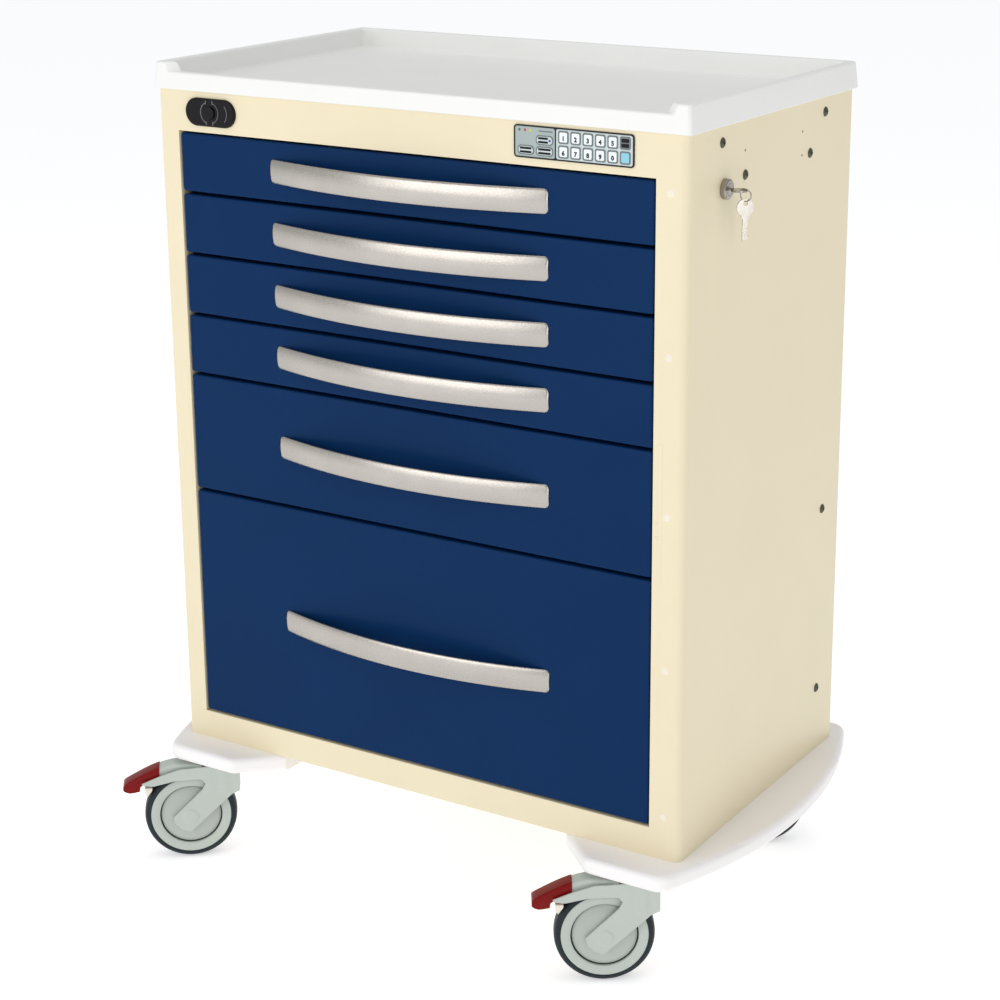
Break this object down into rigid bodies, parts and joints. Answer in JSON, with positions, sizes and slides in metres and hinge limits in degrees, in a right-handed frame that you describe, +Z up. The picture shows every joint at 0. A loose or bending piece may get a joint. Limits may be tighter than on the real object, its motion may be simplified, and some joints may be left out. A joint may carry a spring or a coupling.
{
  "type": "medication cart",
  "caption": "Wheeled medication cart: steel cabinet with stacked lockable drawers, moulded worktop tray, keypad, key lock, base bumpers and braked swivel casters.",
  "frame": {"origin": "on the floor, under the middle of the cabinet's plan", "axes": "+Z up, the drawers face -Y, +X to the right of a person facing the drawers"},
  "size_m": [0.8429, 0.603, 1.04],
  "materials": {
    "cabinet_paint": "satin powder coat",
    "drawer_paint": "semi-gloss enamel",
    "tray_plastic": "satin moulded plastic",
    "bare_steel": "zinc plated",
    "handle_nickel": "satin brushed nickel",
    "caster_plastic": "fine moulded texture",
    "tyre": "smooth thermoplastic rubber",
    "pedal_plastic": "moulded, grey body with a red toe",
    "screw": "black oxide",
    "plug": "cream moulded",
    "keypad": "grey overlay with a black border",
    "key": "pale printed film",
    "escutcheon": "semi-gloss black",
    "lock_chrome": "polished nickel"
  },
  "bodies": {
    "cabinet": {"side_panel_left": "cabinet_paint", "side_panel_right": "cabinet_paint", "back_panel": "cabinet_paint", "top_frame": "cabinet_paint", "base_pan": "cabinet_paint", "worktop_tray": "tray_plastic", "bumper_left": "tray_plastic", "bumper_right": "tray_plastic", "caster_stems": "bare_steel", "slide_rails": "bare_steel", "panel_screws": "screw", "hole_plugs": "plug", "keypad_housing": "keypad", "keypad_keys": "key", "lock_escutcheon": "escutcheon", "lock_barrel": "lock_chrome"},
    "drawer_1": {"drawer_1_box": "bare_steel", "drawer_1_front": "drawer_paint", "drawer_1_handle": "handle_nickel"},
    "drawer_1_slide_members": {"drawer_1_slides": "bare_steel"},
    "drawer_2": {"drawer_2_box": "bare_steel", "drawer_2_front": "drawer_paint", "drawer_2_handle": "handle_nickel"},
    "drawer_2_slide_members": {"drawer_2_slides": "bare_steel"},
    "drawer_3": {"drawer_3_box": "bare_steel", "drawer_3_front": "drawer_paint", "drawer_3_handle": "handle_nickel"},
    "drawer_3_slide_members": {"drawer_3_slides": "bare_steel"},
    "drawer_4": {"drawer_4_box": "bare_steel", "drawer_4_front": "drawer_paint", "drawer_4_handle": "handle_nickel"},
    "drawer_4_slide_members": {"drawer_4_slides": "bare_steel"},
    "drawer_5": {"drawer_5_box": "bare_steel", "drawer_5_front": "drawer_paint", "drawer_5_handle": "handle_nickel"},
    "drawer_5_slide_members": {"drawer_5_slides": "bare_steel"},
    "drawer_6": {"drawer_6_box": "bare_steel", "drawer_6_front": "drawer_paint", "drawer_6_handle": "handle_nickel"},
    "drawer_6_slide_members": {"drawer_6_slides": "bare_steel"},
    "latch_button": {"latch_button": "escutcheon"},
    "lock_key": {"lock_key": "lock_chrome"},
    "lock_bar": {"lock_bar": "bare_steel"},
    "spare_key": {"spare_key": "lock_chrome"},
    "caster_front_left_swivel": {"caster_front_left_fork": "caster_plastic"},
    "caster_front_left_roller": {"caster_front_left_wheel": "caster_plastic", "caster_front_left_tyre": "tyre"},
    "caster_front_left_brake": {"caster_front_left_pedal": "pedal_plastic"},
    "caster_front_right_swivel": {"caster_front_right_fork": "caster_plastic"},
    "caster_front_right_roller": {"caster_front_right_wheel": "caster_plastic", "caster_front_right_tyre": "tyre"},
    "caster_front_right_brake": {"caster_front_right_pedal": "pedal_plastic"},
    "caster_rear_left_swivel": {"caster_rear_left_fork": "caster_plastic"},
    "caster_rear_left_roller": {"caster_rear_left_wheel": "caster_plastic", "caster_rear_left_tyre": "tyre"},
    "caster_rear_left_brake": {"caster_rear_left_pedal": "pedal_plastic"},
    "caster_rear_right_swivel": {"caster_rear_right_fork": "caster_plastic"},
    "caster_rear_right_roller": {"caster_rear_right_wheel": "caster_plastic", "caster_rear_right_tyre": "tyre"},
    "caster_rear_right_brake": {"caster_rear_right_pedal": "pedal_plastic"}
  },
  "joints": [
    {"name": "drawer_1_pull", "type": "slide", "parent": "cabinet", "child": "drawer_1", "axis": [0, -1, 0], "range_m": [0, 0.35]},
    {"name": "drawer_1_slide_run", "type": "slide", "parent": "cabinet", "child": "drawer_1_slide_members", "axis": [0, -1, 0], "range_m": [0, 0.175]},
    {"name": "drawer_2_pull", "type": "slide", "parent": "cabinet", "child": "drawer_2", "axis": [0, -1, 0], "range_m": [0, 0.35]},
    {"name": "drawer_2_slide_run", "type": "slide", "parent": "cabinet", "child": "drawer_2_slide_members", "axis": [0, -1, 0], "range_m": [0, 0.175]},
    {"name": "drawer_3_pull", "type": "slide", "parent": "cabinet", "child": "drawer_3", "axis": [0, -1, 0], "range_m": [0, 0.35]},
    {"name": "drawer_3_slide_run", "type": "slide", "parent": "cabinet", "child": "drawer_3_slide_members", "axis": [0, -1, 0], "range_m": [0, 0.175]},
    {"name": "drawer_4_pull", "type": "slide", "parent": "cabinet", "child": "drawer_4", "axis": [0, -1, 0], "range_m": [0, 0.35]},
    {"name": "drawer_4_slide_run", "type": "slide", "parent": "cabinet", "child": "drawer_4_slide_members", "axis": [0, -1, 0], "range_m": [0, 0.175]},
    {"name": "drawer_5_pull", "type": "slide", "parent": "cabinet", "child": "drawer_5", "axis": [0, -1, 0], "range_m": [0, 0.35]},
    {"name": "drawer_5_slide_run", "type": "slide", "parent": "cabinet", "child": "drawer_5_slide_members", "axis": [0, -1, 0], "range_m": [0, 0.175]},
    {"name": "drawer_6_pull", "type": "slide", "parent": "cabinet", "child": "drawer_6", "axis": [0, -1, 0], "range_m": [0, 0.35]},
    {"name": "drawer_6_slide_run", "type": "slide", "parent": "cabinet", "child": "drawer_6_slide_members", "axis": [0, -1, 0], "range_m": [0, 0.175]},
    {"name": "latch_button_press", "type": "slide", "parent": "cabinet", "child": "latch_button", "axis": [0, 1, 0], "range_m": [0, 0.002], "stiffness_N_per_m": 300},
    {"name": "lock_key_turn", "type": "hinge", "parent": "cabinet", "child": "lock_key", "pos_m": [0.3635, -0.1275, 0.9374], "axis": [1, 0, 0], "range_deg": [0, 90]},
    {"name": "lock_bar_drop", "type": "slide", "parent": "cabinet", "child": "lock_bar", "axis": [0, 0, -1], "range_m": [0, 0.0081]},
    {"name": "spare_key_hang", "type": "hinge", "parent": "lock_key", "child": "spare_key", "pos_m": [0.38915, -0.1275, 0.9243], "axis": [1, 0, 0], "range_deg": [-91, 1]},
    {"name": "caster_front_left_swivel_turn", "type": "hinge", "parent": "cabinet", "child": "caster_front_left_swivel", "pos_m": [-0.314, -0.209, 0.13], "axis": [0, 0, 1], "continuous": true},
    {"name": "caster_front_left_roll", "type": "hinge", "parent": "caster_front_left_swivel", "child": "caster_front_left_roller", "pos_m": [-0.34824, -0.23663, 0.06], "axis": [0.628, -0.7782, 0], "continuous": true},
    {"name": "caster_front_left_brake_press", "type": "hinge", "parent": "caster_front_left_swivel", "child": "caster_front_left_brake", "pos_m": [-0.33813, -0.22847, 0.1255], "axis": [0.628, -0.7782, 0], "range_deg": [0, 5]},
    {"name": "caster_front_right_swivel_turn", "type": "hinge", "parent": "cabinet", "child": "caster_front_right_swivel", "pos_m": [0.314, -0.209, 0.13], "axis": [0, 0, 1], "continuous": true},
    {"name": "caster_front_right_roll", "type": "hinge", "parent": "caster_front_right_swivel", "child": "caster_front_right_roller", "pos_m": [0.2771, -0.23296, 0.06], "axis": [0.5446, -0.8387, 0], "continuous": true},
    {"name": "caster_front_right_brake_press", "type": "hinge", "parent": "caster_front_right_swivel", "child": "caster_front_right_brake", "pos_m": [0.288, -0.22588, 0.1255], "axis": [0.5446, -0.8387, 0], "range_deg": [0, 5]},
    {"name": "caster_rear_left_swivel_turn", "type": "hinge", "parent": "cabinet", "child": "caster_rear_left_swivel", "pos_m": [-0.314, 0.209, 0.13], "axis": [0, 0, 1], "continuous": true},
    {"name": "caster_rear_left_roll", "type": "hinge", "parent": "caster_rear_left_swivel", "child": "caster_rear_left_roller", "pos_m": [-0.34824, 0.23663, 0.06], "axis": [-0.628, -0.7782, 0], "continuous": true},
    {"name": "caster_rear_left_brake_press", "type": "hinge", "parent": "caster_rear_left_swivel", "child": "caster_rear_left_brake", "pos_m": [-0.33813, 0.22847, 0.1255], "axis": [-0.628, -0.7782, 0], "range_deg": [0, 5]},
    {"name": "caster_rear_right_swivel_turn", "type": "hinge", "parent": "cabinet", "child": "caster_rear_right_swivel", "pos_m": [0.314, 0.209, 0.13], "axis": [0, 0, 1], "continuous": true},
    {"name": "caster_rear_right_roll", "type": "hinge", "parent": "caster_rear_right_swivel", "child": "caster_rear_right_roller", "pos_m": [0.27796, 0.18376, 0.06], "axis": [0.5736, -0.8192, 0], "continuous": true},
    {"name": "caster_rear_right_brake_press", "type": "hinge", "parent": "caster_rear_right_swivel", "child": "caster_rear_right_brake", "pos_m": [0.28861, 0.19122, 0.1255], "axis": [0.5736, -0.8192, 0], "range_deg": [0, 5]}
  ],
  "couplings": [
    {"joint": "drawer_1_slide_run", "follows": "drawer_1_pull", "ratio": 0.5},
    {"joint": "drawer_2_slide_run", "follows": "drawer_2_pull", "ratio": 0.5},
    {"joint": "drawer_3_slide_run", "follows": "drawer_3_pull", "ratio": 0.5},
    {"joint": "drawer_4_slide_run", "follows": "drawer_4_pull", "ratio": 0.5},
    {"joint": "drawer_5_slide_run", "follows": "drawer_5_pull", "ratio": 0.5},
    {"joint": "drawer_6_slide_run", "follows": "drawer_6_pull", "ratio": 0.5},
    {"joint": "lock_bar_drop", "follows": "lock_key_turn", "m_per_rad": 0.005093},
    {"joint": "spare_key_hang", "follows": "lock_key_turn", "ratio": -1}
  ]
}
